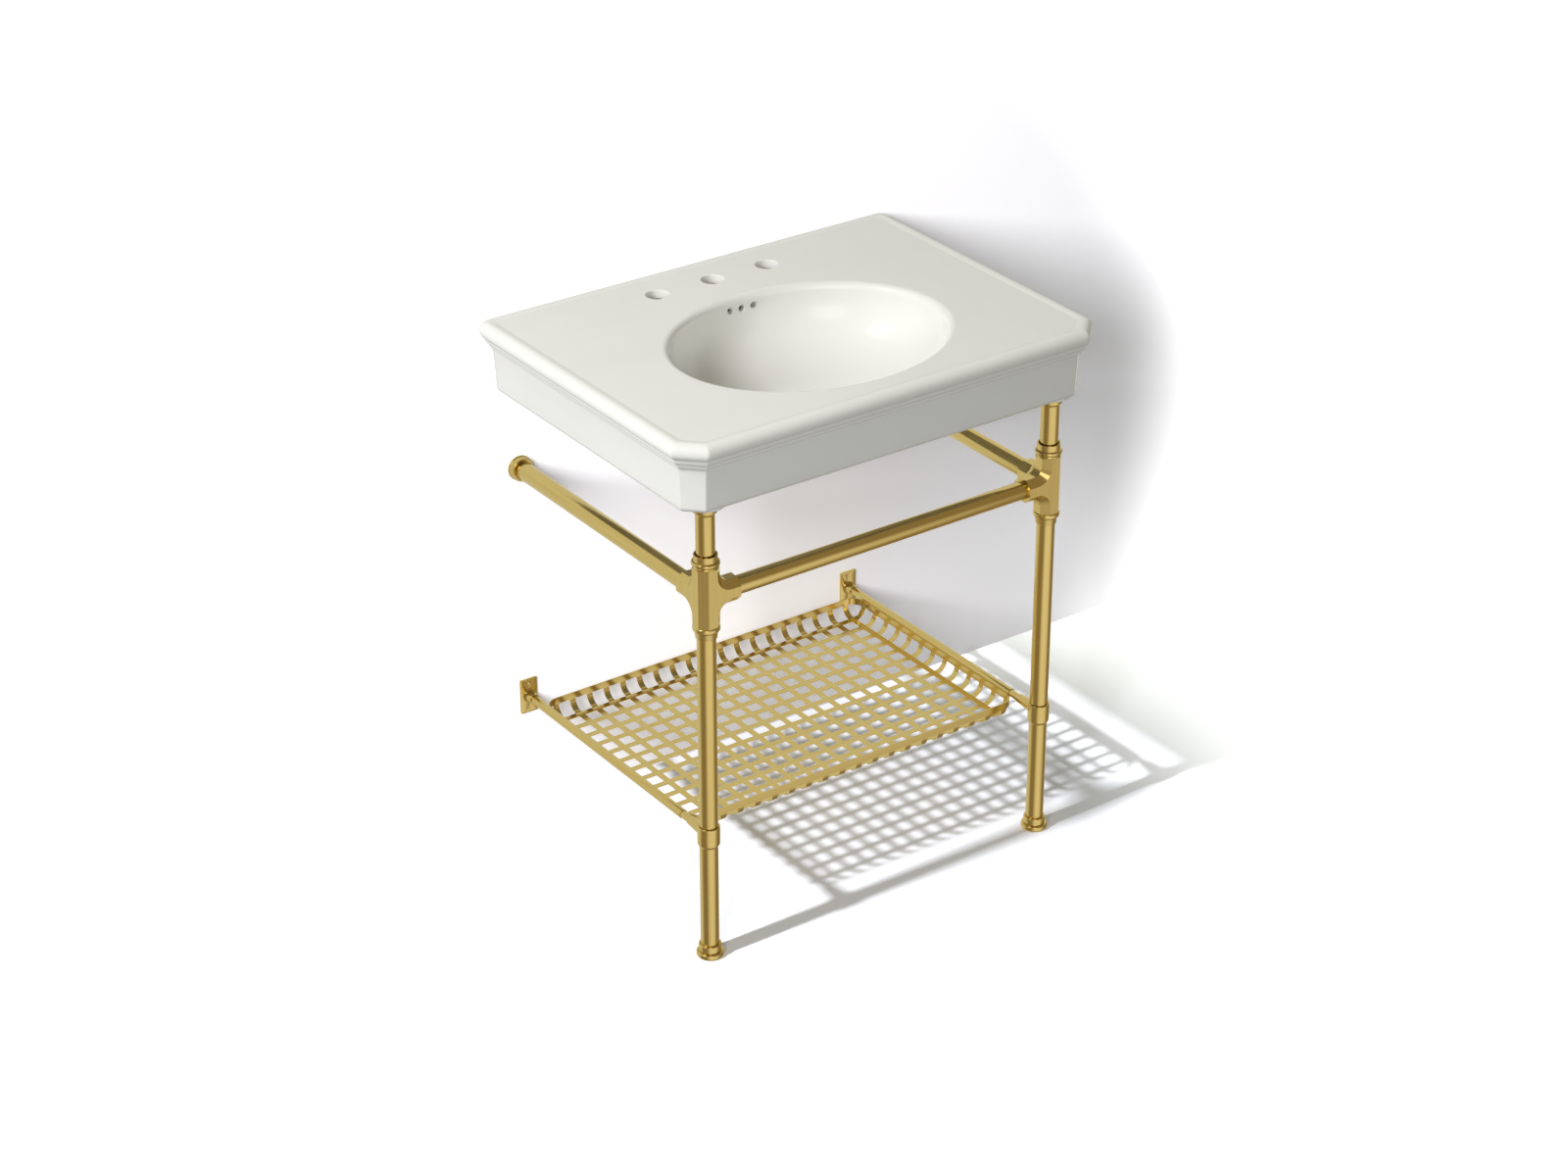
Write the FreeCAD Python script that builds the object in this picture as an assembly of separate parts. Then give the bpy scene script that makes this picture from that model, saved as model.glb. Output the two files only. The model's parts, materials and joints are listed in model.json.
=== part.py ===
import FreeCAD, Part
import math
import os

# A ceramic console sink on two front legs of tube, with towel rails and a slotted shelf basket.
# Millimetres. The origin is on the wall, at floor level, on the centre line.
# +X points to the right, +Y into the wall and +Z up, so the whole object lies at negative Y.

# Console
console_width = 762.0
console_depth = 562.0
deck_height = 878.0
corner_cut = 38.0
slab_thickness = 14.0
skirt_thickness = 12.5
skirt_fillet = 8.0
back_wall = 14.0
rim_rise = 1.5
border_inset = 24.0
border_slope = 8.5
border_back = 17.0
roll_radius = 13.5
roll_sweep = 140.0
roll_steps = 14
crease_width = 1.8
crease_drop = 1.1
upper_bead_width = 4.0
upper_bead_height = 8.4
groove_width = 1.8
groove_height = 3.0
lower_bead_width = 3.0
lower_bead_height = 4.2
bead_steps = 5
shoulder_fall = 0.4
apron_step = 2.0
apron_drop = 113.0
apron_taper = 3.0
taper_height = 25.0
apron_round = 9.0
front_corner_round = 8.0
least_corner_round = 3.5
rim_back_round = 14.0
apron_back_round = 26.0
top_back_round = 6.0
inner_corner_round = 12.0

# Bowl, drain and overflow
bowl_radius = 220.5
bowl_oval = 0.8065
bowl_to_wall = 326.5
bowl_depth = 128.0
bowl_wall = 12.0
bowl_flat_radius = 11.0
lip_radius = 12.0
drain_radius = 22.25
drain_boss_wall = 13.0
drain_boss_drop = 10.0
overflow_count = 3
overflow_spacing = 22.0
overflow_radius = 4.5
overflow_below_deck = 21.0
duct_width = 50.0
duct_gap = 13.0
duct_wall = 7.0
duct_depth = 112.0
duct_bore = 5.5
duct_overlap = 2.0

# Holes for the tap and for the wall
tap_hole_radius = 17.5
tap_hole_spacing = 101.6
tap_hole_to_wall = 70.3
hanger_hole_radius = 7.0
hanger_hole_x = 140.0
hanger_hole_below_deck = 66.0

# Legs and posts
leg_from_side = 65.8
leg_from_front = 52.0
tube_radius = 14.3
tube_wall = 1.5
fit = 0.05
pad_wall = 13.4
bush_wall = 2.2
bush_height = 74.0
bush_cap = 3.0
ferrule_radius = 18.2
ferrule_height = 15.5
ferrule_cove = 4.5
ferrule_cove_bow = 0.9

# Tee
rail_below_deck = 260.1
tee_flats = 38.0
tee_half_height = 47.0
tee_arm = 49.0
tee_fillet = 14.0
seat_from_axis = 20.0
neck_radius = 18.5
neck_height = 3.4
neck_bulge = 0.5
joint_gap = 0.3

# Collars above and below the tee
slip_ring_radius = 21.2
slip_ring_height = 7.0
slip_cup_radius = 17.8
slip_cup_height = 10.0
slip_cup_gap = 1.6
slip_cup_recess = 6.0
lower_ring_radius = 20.6
lower_ring_height = 9.5
lower_neck_radius = 17.5
lower_neck_height = 11.0
lower_neck_taper = 1.2

# Wall end of the side rails
hub_flange = 4.0
hub_spigot = 26.0
hub_screw_radius = 4.0
hub_screw_depth = 22.0
cup_reach = 13.0
cup_radius = 19.0
cup_rim_radius = 20.2
cup_rim_height = 3.0
cup_mouth_gap = 1.3
cup_mouth_depth = 2.5
cup_edge_round = 0.6

# Shelf carriers
rod_height = 214.9
sleeve_radius = 7.15
rod_radius = 6.0
rod_from_leg = 22.0
sleeve_from_leg = 68.0
socket_from_leg = 48.0
socket_mouth_radius = 7.4
socket_root_radius = 9.6
socket_flare = 0.3
shelf_collar_radius = 17.2
shelf_collar_above = 15.0
shelf_collar_below = 19.0
shelf_collar_round = 1.5
shelf_collar_chamfer = 4.0
collar_mouth_gap = 0.7
collar_mouth_depth = 1.5
bracket_width = 30.0
bracket_height = 60.0
bracket_thickness = 3.0
bracket_corner = 1.5
bracket_screw_radius = 2.25
bracket_screw_spacing = 42.2
boss_reach = 20.0
boss_radius = 8.9
boss_flange_radius = 10.8
boss_flange_height = 2.0
boss_flare = 0.3
boss_edge = 0.3

# Shelf basket
sheet = 1.2
basket_drop = 29.8
basket_to_wall = 34.4
basket_from_leg = 48.4
floor_bend = 18.5
basket_corner = 21.5
band_height = 11.5
pitch = 31.75
bar_width = 10.25

# Feet
foot_ring_radius = 17.4
foot_ring_bottom = 9.8
foot_ring_height = 12.2
foot_ring_ledge = 2.0
foot_ring_round = 1.5
foot_ledge_radius = 9.0
foot_radius = 21.0
foot_edge_round = 2.6
foot_off_floor = 0.6
stud_radius = 4.95
stud_top = 38.0
insert_height = 28.0
glide_radius = 17.0
glide_thickness = 2.6
glide_pin_radius = 3.0
glide_pin_height = 4.4
glide_clearance = 0.3

# Grub screws
grub_radius = 2.45
grub_length = 4.2
rod_grub_length = 2.1
grub_from_end = 12.0

leg_x = console_width / 2 - leg_from_side
leg_y = leg_from_front - console_depth
crest_height = deck_height + rim_rise
slab_bottom = deck_height - slab_thickness
rail_height = deck_height - rail_below_deck
underside = deck_height - apron_drop
bowl_y = -bowl_to_wall
bowl_lip_height = deck_height - lip_radius
tee_bottom = rail_height - tee_half_height
tee_top = rail_height + tee_half_height
half_flats = tee_flats / 2
flat_cut = tee_flats * (1 - 1 / math.sqrt(2))
bore_radius = tube_radius + fit
grub_hole_radius = grub_radius + fit

OUT = FreeCAD.Vector(0, -1, 0)
RIGHT = FreeCAD.Vector(1, 0, 0)
UP = FreeCAD.Vector(0, 0, 1)
ZERO = FreeCAD.Vector()


def box(low, high):
    """Block between two opposite corners."""
    size = [top - bottom for bottom, top in zip(low, high)]
    return Part.makeBox(*size, FreeCAD.Vector(*low))


def cylinder(radius, start, end):
    """Round bar between two points."""
    way = end - start
    return Part.makeCylinder(radius, way.Length, start, way)


def pipe(start, end):
    """Length of the main tube between two points."""
    return cylinder(tube_radius, start, end).cut(cylinder(tube_radius - tube_wall, start, end))


def turned(stops):
    """Solid turned about Z from (radius, height) stops; a third value bows the edge that ends there."""
    points = [FreeCAD.Vector(stop[0], 0, stop[1]) for stop in stops]
    edges = []
    for place, stop in enumerate(stops):
        start = points[place - 1]
        end = points[place]
        if len(stop) < 3:
            edges.append(Part.makeLine(start, end))
            continue
        way = end - start
        aside = FreeCAD.Vector(way.z, 0, -way.x) / way.Length
        edges.append(Part.Arc(start, (start + end) / 2 + aside * stop[2], end).toShape())
    return Part.Face(Part.Wire(edges)).revolve(ZERO, UP, 360)


def round_bow(rounding):
    """Bow of a round over a square edge, for a turned outline."""
    return rounding * (1 - math.sqrt(0.5))


def facing(shape, way, place):
    """Move a solid that was turned about Z so that its Z axis points along a way, from a place."""
    shape.Placement = FreeCAD.Placement(place, FreeCAD.Rotation(UP, way))
    return shape


def rounded_wire(corners, height):
    """Level closed wire through (x, y, rounding) corners; a rounding of 0 leaves the corner sharp."""
    spots = [FreeCAD.Vector(x, y, height) for x, y, _ in corners]
    arcs = []
    for place, (_, _, rounding) in enumerate(corners):
        here = spots[place]
        before = (spots[place - 1] - here).normalize()
        after = (spots[(place + 1) % len(spots)] - here).normalize()
        half = before.getAngle(after) / 2
        reach = rounding / math.tan(half)
        middle = here + (before + after).normalize() * (rounding / math.sin(half) - rounding)
        arcs.append((here + before * reach, middle, here + after * reach))
    edges = []
    for place, (start, middle, end) in enumerate(arcs):
        if corners[place][2]:
            edges.append(Part.Arc(start, middle, end).toShape())
        edges.append(Part.makeLine(end, arcs[(place + 1) % len(arcs)][0]))
    return Part.Wire(edges)


def save(node, shape):
    shape.exportStep(f"parts/{node}.step")


def save_pair(node, left_shape):
    """The left-hand piece and its mirror image on the right."""
    save(f"{node}_left", left_shape)
    save(f"{node}_right", left_shape.mirror(ZERO, RIGHT))


def console_outline(inset, height, back, front_round, back_round):
    """Plan of the console at one level: a rectangle with cut front corners."""
    side = console_width / 2 - inset
    front = inset - console_depth
    cut = corner_cut - inset * (2 - math.sqrt(2))
    corners = [(-side, -back, back_round), (-side, front + cut, front_round),
               (cut - side, front, front_round), (side - cut, front, front_round),
               (side, front + cut, front_round), (side, -back, back_round)]
    return rounded_wire(corners, height)


def quarter(start, width, drop):
    """Convex quarter round down from a (inset, height) point, in short steps."""
    points = []
    for step in range(bead_steps + 1):
        angle = math.pi / 2 * step / bead_steps
        points.append((start[0] + width * (1 - math.cos(angle)), start[1] - drop * math.sin(angle)))
    return points


def rim_profile():
    """(inset, height) points down the outside: the roll, the two beads, the apron and its bottom edge."""
    points = []
    for step in range(roll_steps + 1):
        angle = math.radians(90 - roll_sweep * step / roll_steps)
        inset = roll_radius * (1 - math.cos(angle))
        points.append((inset, crest_height - roll_radius * (1 - math.sin(angle))))
    inset, height = points[-1]
    points += quarter((inset + crease_width, height - crease_drop), upper_bead_width, upper_bead_height)
    inset, height = points[-1]
    inset += groove_width
    points.append((inset, height - shoulder_fall))
    points += quarter((inset, height - groove_height), lower_bead_width, lower_bead_height)
    inset, height = points[-1]
    inset += apron_step
    points += [(inset, height - shoulder_fall), (inset, underside + taper_height)]
    points += quarter((inset + apron_taper, underside + apron_round), apron_round, apron_round)
    return points


def console_shell():
    """Deck, rim, apron and hollow underside: one skin from the deck's border to the slab's underside."""
    wires = []
    border = border_inset - border_slope
    border_levels = ((border_inset, deck_height, border_back),
                     (border, crest_height, border_back - border_slope))
    for inset, height, back in border_levels:
        wires.append(console_outline(inset, height, back, least_corner_round, inner_corner_round))
    profile = rim_profile()
    apron_inset = profile[-1][0] - apron_round
    for inset, height in profile:
        above = max(0.0, height - crest_height + top_back_round)
        back = top_back_round - math.sqrt(top_back_round ** 2 - above ** 2)
        front_round = max(least_corner_round, front_corner_round - inset)
        share = min(1.0, inset / apron_inset) if height < crest_height - roll_radius else 0.0
        back_round = rim_back_round + (apron_back_round - rim_back_round) * share
        wires.append(console_outline(inset, height, back, front_round, back_round))
    inset = apron_inset + skirt_thickness
    skirt_levels = ((0, profile[-1][1]), (0, slab_bottom - skirt_fillet), (skirt_fillet, slab_bottom))
    for extra, height in skirt_levels:
        wires.append(console_outline(inset + extra, height, back_wall + extra, inner_corner_round,
                                     inner_corner_round))
    return Part.makeLoft(wires, True, True)


def bowl_solid(radius, depth, lip, top):
    """Lower half of a flattened ellipsoid, flat over the drain, with the lip's flare and a column above."""
    centre = FreeCAD.Vector(0, 0, bowl_lip_height)
    rim = FreeCAD.Vector(radius, 0, bowl_lip_height)
    ellipse = Part.Ellipse(rim, FreeCAD.Vector(0, 0, bowl_lip_height - depth), centre)
    wall = Part.ArcOfEllipse(ellipse, 0, math.acos(bowl_flat_radius / radius)).toShape()
    flat = wall.Vertexes[-1].Point
    floor = FreeCAD.Vector(0, 0, flat.z)
    edges = [Part.makeLine(floor, flat), wall]
    if lip:
        flare = rim + FreeCAD.Vector(lip * (1 - math.cos(math.pi / 4)), 0, lip * math.sin(math.pi / 4))
        end = rim + FreeCAD.Vector(lip, 0, lip)
        edges.append(Part.Arc(rim, flare, end).toShape())
        rim = end
    corner = FreeCAD.Vector(rim.x, 0, top)
    crown = FreeCAD.Vector(0, 0, top)
    edges += [Part.makeLine(rim, corner), Part.makeLine(corner, crown), Part.makeLine(crown, floor)]
    flatten = FreeCAD.Matrix()
    flatten.scale(1, bowl_oval, 1)
    quarters = []
    for turn in range(0, 360, 90):
        quarters.append(Part.Face(Part.Wire(edges)).revolve(ZERO, UP, 90))
        quarters[-1].rotate(ZERO, UP, turn)
    oval = quarters[0].fuse(quarters[1:]).transformGeometry(flatten)
    oval.translate(FreeCAD.Vector(0, bowl_y, 0))
    return oval


def overflow_places():
    """Centres of the overflow holes, in the middle of the bowl's back wall."""
    first = -overflow_spacing * (overflow_count - 1) / 2
    back = bowl_y + bowl_radius * bowl_oval
    return [FreeCAD.Vector(first + overflow_spacing * place, back, deck_height - overflow_below_deck)
            for place in range(overflow_count)]


def console_top():
    """The whole ceramic piece: shell, bowl, drain boss, overflow duct and post pads, then every hole."""
    bowl_floor = bowl_lip_height - bowl_depth
    boss_bottom = bowl_floor - bowl_wall - drain_boss_drop
    bowl_back = bowl_y + bowl_radius * bowl_oval
    duct_front = bowl_back + bowl_wall * bowl_oval - duct_overlap
    duct_back = duct_front + duct_gap
    duct_floor = deck_height - overflow_below_deck - duct_depth
    duct_side = duct_width / 2
    inside_slab = slab_bottom + slab_thickness / 2
    drain = FreeCAD.Vector(0, bowl_y, boss_bottom)
    duct_start = FreeCAD.Vector(0, (duct_front + duct_back) / 2, duct_floor + duct_bore)
    duct_end = drain + FreeCAD.Vector(0, drain_radius, bowl_wall / 2 + duct_bore)

    solid = console_shell()
    added = [bowl_solid(bowl_radius + bowl_wall, bowl_depth + bowl_wall, 0, inside_slab),
             cylinder(drain_radius + drain_boss_wall, drain, FreeCAD.Vector(0, bowl_y, bowl_floor)),
             box((-duct_side - duct_wall, bowl_back, duct_floor - duct_wall),
                 (duct_side + duct_wall, duct_back + duct_wall, inside_slab)),
             cylinder(duct_bore + duct_wall, duct_start, duct_end)]
    bush_radius = bore_radius + bush_wall + fit
    pad_radius = bush_radius + pad_wall
    for side in (-1, 1):
        foot = FreeCAD.Vector(side * leg_x, leg_y, underside)
        added.append(cylinder(pad_radius, foot, foot + UP * (inside_slab - underside)))
    solid = solid.fuse(added)

    cuts = [bowl_solid(bowl_radius, bowl_depth, lip_radius, crest_height + lip_radius),
            cylinder(drain_radius, drain - UP * bowl_wall, drain + UP * (bowl_depth / 2)),
            box((-duct_side, duct_front, duct_floor), (duct_side, duct_back, slab_bottom - fit)),
            cylinder(duct_bore, duct_start, duct_end)]
    for place in overflow_places():
        inside = place - OUT * (duct_gap / 2 + bowl_wall)
        cuts.append(cylinder(overflow_radius, place + OUT * bowl_wall, inside))
    for column in (-1, 0, 1):
        hole = FreeCAD.Vector(column * tap_hole_spacing, -tap_hole_to_wall, slab_bottom - slab_thickness)
        cuts.append(cylinder(tap_hole_radius, hole, hole + UP * (3 * slab_thickness)))
    for side in (-1, 1):
        hanger = FreeCAD.Vector(side * hanger_hole_x, back_wall, deck_height - hanger_hole_below_deck)
        cuts.append(cylinder(hanger_hole_radius, hanger, hanger + OUT * (3 * back_wall)))
        foot = FreeCAD.Vector(side * leg_x, leg_y, underside - fit)
        cuts.append(cylinder(bush_radius, foot, foot + UP * (bush_height + 2 * fit)))
    return solid.cut(cuts)


def at_leg(shape, height=0.0):
    """Move a solid that was turned about Z to the left leg, at a height."""
    shape.translate(FreeCAD.Vector(-leg_x, leg_y, height))
    return shape


def post_top():
    """Height of the upper end of a post, under the bush's cap."""
    return underside + bush_height - bush_cap


def post_bush():
    top = post_top() + bush_cap
    outer = bore_radius + bush_wall
    return at_leg(turned([(0, top), (outer, top), (outer, top - bush_height),
                          (bore_radius, top - bush_height), (bore_radius, top - bush_cap),
                          (0, top - bush_cap)]))


def post_ferrule():
    """Ring against the console's underside, coved down to the post."""
    bottom = underside - ferrule_height
    lip = bore_radius + joint_gap
    return at_leg(turned([(bore_radius, underside), (ferrule_radius, underside),
                          (ferrule_radius, bottom + ferrule_cove),
                          (lip, bottom, ferrule_cove_bow), (bore_radius, bottom)]))


def top_post():
    seat = FreeCAD.Vector(-leg_x, leg_y, rail_height + seat_from_axis)
    return pipe(seat, FreeCAD.Vector(-leg_x, leg_y, post_top()))


def cast_plate(corners):
    """Flat casting as thick as the tee, from a plan outline, with its rims cut back to eight sides."""
    plate = Part.Face(rounded_wire(corners, -half_flats)).extrude(UP * tee_flats)
    rims = [edge for edge in plate.Edges if edge.BoundBox.ZLength < fit]
    return plate.makeChamfer(flat_cut, rims)


def tee_plates():
    """The three crossing plates of the tee, about its own centre, arms along +X and +Y."""
    side = half_flats
    arm = tee_arm + tee_flats
    stem = tee_half_height + tee_flats
    upright = [(-side, -stem, 0), (side, -stem, 0), (side, -side, tee_fillet), (arm, -side, 0),
               (arm, side, 0), (side, side, tee_fillet), (side, stem, 0), (-side, stem, 0)]
    level = [(flat_cut - side, -side, 0), (arm, -side, 0), (arm, side, 0), (side, side, tee_fillet),
             (side, arm, 0), (-side, arm, 0), (-side, flat_cut - side, 0)]
    to_front = cast_plate(upright)
    to_front.rotate(ZERO, RIGHT, 90)
    to_wall = cast_plate(upright)
    to_wall.rotate(ZERO, RIGHT, 90)
    to_wall.rotate(ZERO, UP, 90)
    return [to_front, to_wall, cast_plate(level)]


def tee():
    """Eight-sided casting with round necks and a socket for each tube."""
    front, wall, level = tee_plates()
    whole = front.fuse([wall, level])
    low = (-half_flats, -half_flats, -tee_half_height)
    whole = whole.common(box(low, (tee_arm, tee_arm, tee_half_height)))
    bulge = neck_radius + neck_bulge
    neck = turned([(0, 0), (bulge, 0), (neck_radius, neck_height, neck_bulge), (0, neck_height)])
    neck.translate(UP * tee_half_height)
    whole = whole.fuse(neck)
    top = tee_half_height + neck_height
    sockets = [cylinder(bore_radius, UP * seat_from_axis, UP * top),
               cylinder(bore_radius, UP * -tee_half_height, UP * -seat_from_axis),
               cylinder(bore_radius, RIGHT * seat_from_axis, RIGHT * tee_arm),
               cylinder(bore_radius, OUT * -seat_from_axis, OUT * -tee_arm)]
    for way in (RIGHT, OUT * -1):
        hole = way * (tee_arm - grub_from_end)
        sockets.append(cylinder(grub_hole_radius, hole - UP * tee_flats, hole))
    return at_leg(whole.cut(sockets), rail_height)


def upper_collar():
    """Slip collar on the tee's neck: a full ring below an open cup."""
    bottom = tee_top + neck_height + joint_gap
    ring_top = bottom + slip_ring_height
    top = ring_top + slip_cup_height
    mouth = bore_radius + slip_cup_gap
    bulge = slip_ring_radius - (neck_radius + slip_cup_radius) / 2
    return at_leg(turned([(bore_radius, bottom), (neck_radius, bottom), (neck_radius, bottom + joint_gap),
                          (slip_cup_radius, ring_top, bulge),
                          (slip_cup_radius, top - joint_gap), (slip_cup_radius - joint_gap, top),
                          (mouth, top), (mouth, top - slip_cup_recess),
                          (bore_radius, top - slip_cup_recess)]))


def lower_collar():
    """Full ring under the tee, with a neck that tapers to the leg tube."""
    ring_bottom = tee_bottom - lower_ring_height
    bottom = ring_bottom - lower_neck_height
    bulge = lower_ring_radius - neck_radius
    return at_leg(turned([(bore_radius, bottom), (lower_neck_radius - lower_neck_taper, bottom),
                          (lower_neck_radius, ring_bottom), (neck_radius, ring_bottom),
                          (neck_radius, tee_bottom, bulge), (bore_radius, tee_bottom)]))


def leg_tube():
    seat = FreeCAD.Vector(-leg_x, leg_y, rail_height - seat_from_axis)
    foot = FreeCAD.Vector(-leg_x, leg_y, foot_ring_bottom + foot_ring_ledge)
    return pipe(foot, seat)


def front_rail():
    reach = leg_x - seat_from_axis
    return pipe(FreeCAD.Vector(-reach, leg_y, rail_height), FreeCAD.Vector(reach, leg_y, rail_height))


def side_rail():
    return pipe(FreeCAD.Vector(-leg_x, leg_y + seat_from_axis, rail_height),
                FreeCAD.Vector(-leg_x, -hub_flange, rail_height))


def rail_hub():
    """Plug that carries the wall end of a side rail, with a blind threaded hole towards the wall."""
    spigot = tube_radius - tube_wall - fit
    end = hub_flange + hub_spigot
    hub = turned([(0, end), (0, hub_screw_depth), (hub_screw_radius, hub_screw_depth),
                  (hub_screw_radius, 0), (tube_radius, 0), (tube_radius, hub_flange),
                  (spigot, hub_flange), (spigot, end)])
    return facing(hub, OUT, FreeCAD.Vector(-leg_x, 0, rail_height))


def wall_cup():
    """Cup round the end of a side rail, with a wider rim at the wall and a small gap round the rail."""
    mouth = bore_radius + cup_mouth_gap
    cup = turned([(bore_radius, 0), (cup_rim_radius, 0), (cup_rim_radius, cup_rim_height - joint_gap),
                  (cup_radius, cup_rim_height), (cup_radius, cup_reach - cup_edge_round),
                  (cup_radius - cup_edge_round, cup_reach, round_bow(cup_edge_round)), (mouth, cup_reach),
                  (mouth, cup_reach - cup_mouth_depth), (bore_radius, cup_reach - cup_mouth_depth)])
    return facing(cup, OUT, FreeCAD.Vector(-leg_x, 0, rail_height))


def shelf_collar():
    """Collar on the leg with a flared socket for the shelf rod, in one casting."""
    low = -shelf_collar_below
    high = shelf_collar_above
    mouth = bore_radius + collar_mouth_gap
    inner = shelf_collar_radius - shelf_collar_round
    ring = turned([(0, low), (mouth, low), (shelf_collar_radius, low + shelf_collar_chamfer),
                   (shelf_collar_radius, high - shelf_collar_round),
                   (inner, high, round_bow(shelf_collar_round)), (0, high)])
    socket = turned([(0, 0), (socket_root_radius, 0), (socket_root_radius, shelf_collar_radius),
                     (socket_mouth_radius, socket_from_leg, -socket_flare), (0, socket_from_leg)])
    socket = facing(socket, OUT * -1, ZERO)
    grub_hole = OUT * (grub_from_end - socket_from_leg)
    holes = [cylinder(bore_radius, UP * 2 * low, UP * 2 * high),
             cylinder(mouth, UP * (high - collar_mouth_depth), UP * 2 * high),
             cylinder(rod_radius + fit, OUT * -rod_from_leg, OUT * -socket_from_leg),
             cylinder(grub_hole_radius, grub_hole - UP * shelf_collar_radius, grub_hole)]
    return at_leg(ring.fuse(socket).cut(holes), rod_height)


def on_rod_axis(y):
    return FreeCAD.Vector(-leg_x, y, rod_height)


def rod_inner():
    return cylinder(rod_radius, on_rod_axis(leg_y + rod_from_leg), on_rod_axis(-bracket_thickness))


def rod_sleeve():
    """Outer tube of the shelf carrier, from the wall boss to short of the leg."""
    start = on_rod_axis(leg_y + sleeve_from_leg)
    end = on_rod_axis(-boss_reach - joint_gap)
    return cylinder(sleeve_radius, start, end).cut(cylinder(rod_radius + fit, start, end))


def wall_bracket():
    """Wall plate with two screw holes and a round boss that holds the shelf rod."""
    side = bracket_width / 2
    top = bracket_height / 2
    corners = [(-side, -top, bracket_corner), (side, -top, bracket_corner),
               (side, top, bracket_corner), (-side, top, bracket_corner)]
    plate = Part.Face(rounded_wire(corners, 0)).extrude(UP * bracket_thickness)
    flange_top = bracket_thickness + boss_flange_height
    boss = turned([(0, 0), (boss_flange_radius, 0), (boss_flange_radius, bracket_thickness),
                   (boss_radius, flange_top, -boss_flare), (boss_radius, boss_reach - boss_edge),
                   (boss_radius - boss_edge, boss_reach), (0, boss_reach)])
    holes = [cylinder(rod_radius + fit, UP * bracket_thickness, UP * boss_reach)]
    for way in (-1, 1):
        hole = FreeCAD.Vector(0, way * bracket_screw_spacing / 2, 0)
        holes.append(cylinder(bracket_screw_radius, hole, hole + UP * bracket_thickness))
    bracket = plate.fuse(boss).cut(holes)
    bracket.rotate(ZERO, RIGHT, 90)
    bracket.translate(on_rod_axis(0))
    return bracket


def tray(low, high, corner, bend):
    """Block with rounded upright corners and a rounded bottom edge."""
    block = box(low, high)
    upright = [edge for edge in block.Edges if abs(edge.tangentAt(edge.FirstParameter).z) > fit]
    block = block.makeFillet(corner, upright)
    floor = [edge for edge in block.Edges if edge.BoundBox.ZMax < low[2] + fit]
    return block.makeFillet(bend, floor)


def shelf_basket():
    """Tray of sheet with square holes in its floor, and slots that run up its bend to a plain band."""
    half_width = leg_x - sleeve_radius - fit
    back = -basket_to_wall
    front = leg_y + basket_from_leg
    bottom = rod_height - basket_drop
    outer = tray((-half_width, front, bottom), (half_width, back, rod_height), basket_corner + sheet,
                 floor_bend + sheet)
    top = rod_height + basket_corner + floor_bend
    inner = tray((sheet - half_width, front + sheet, bottom + sheet),
                 (half_width - sheet, back - sheet, top), basket_corner, floor_bend)
    flat_width = 2 * (half_width - sheet - floor_bend)
    flat_depth = back - front - 2 * (sheet + floor_bend)
    columns = int(flat_width / pitch)
    rows = int(flat_depth / pitch)
    middle = (front + back) / 2
    hole = (pitch - bar_width) / 2
    band_bottom = rod_height - band_height
    border_x = (columns * pitch + bar_width) / 2
    border_y = (rows * pitch + bar_width) / 2
    below = bottom - floor_bend
    column_places = [pitch * (place - (columns - 1) / 2) for place in range(columns)]
    row_places = [middle + pitch * (place - (rows - 1) / 2) for place in range(rows)]

    cuts = []
    for x in column_places:
        for y in row_places:
            cuts.append(box((x - hole, y - hole, below), (x + hole, y + hole, band_bottom)))
        cuts.append(box((x - hole, middle + border_y, below), (x + hole, 0, band_bottom)))
        cuts.append(box((x - hole, leg_y, below), (x + hole, middle - border_y, band_bottom)))
    for side in (-1, 1):
        edge, past = sorted((side * border_x, side * leg_x))
        for y in row_places:
            cuts.append(box((edge, y - hole, below), (past, y + hole, band_bottom)))
        cuts.append(box((edge, middle + border_y, below), (past, 0, band_bottom)))
        cuts.append(box((edge, leg_y, below), (past, middle - border_y, band_bottom)))
    return outer.cut(inner).cut(cuts)


def foot_collar():
    """Ring over the end of the leg tube, with a ledge that carries the tube."""
    top = foot_ring_bottom + foot_ring_height
    ledge = foot_ring_bottom + foot_ring_ledge
    return at_leg(turned([(foot_ledge_radius, foot_ring_bottom), (foot_ring_radius, foot_ring_bottom),
                          (foot_ring_radius, top - foot_ring_round),
                          (foot_ring_radius - foot_ring_round, top, round_bow(foot_ring_round)),
                          (bore_radius, top), (bore_radius, ledge), (foot_ledge_radius, ledge)]))


def foot_insert():
    """Plug in the end of the leg tube, threaded for the foot's stud."""
    bottom = foot_ring_bottom + foot_ring_ledge
    thread = stud_radius + fit
    outer = tube_radius - tube_wall - fit
    return at_leg(turned([(thread, bottom), (outer, bottom), (outer, bottom + insert_height),
                          (thread, bottom + insert_height)]))


def levelling_foot():
    """Round foot with a rounded rim, a stud upwards, and a recess and pin hole for the glide below."""
    top = foot_ring_bottom - joint_gap
    rounding = foot_edge_round
    recess = glide_radius + glide_clearance
    pin = glide_pin_radius + fit
    pin_top = glide_thickness + glide_pin_height + glide_clearance
    return at_leg(turned([(0, stud_top), (0, pin_top), (pin, pin_top), (pin, glide_thickness),
                          (recess, glide_thickness), (recess, foot_off_floor),
                          (foot_radius - rounding, foot_off_floor),
                          (foot_radius, foot_off_floor + rounding, round_bow(rounding)),
                          (foot_radius, top - rounding),
                          (foot_radius - rounding, top, round_bow(rounding)),
                          (stud_radius, top), (stud_radius, stud_top)]))


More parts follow.
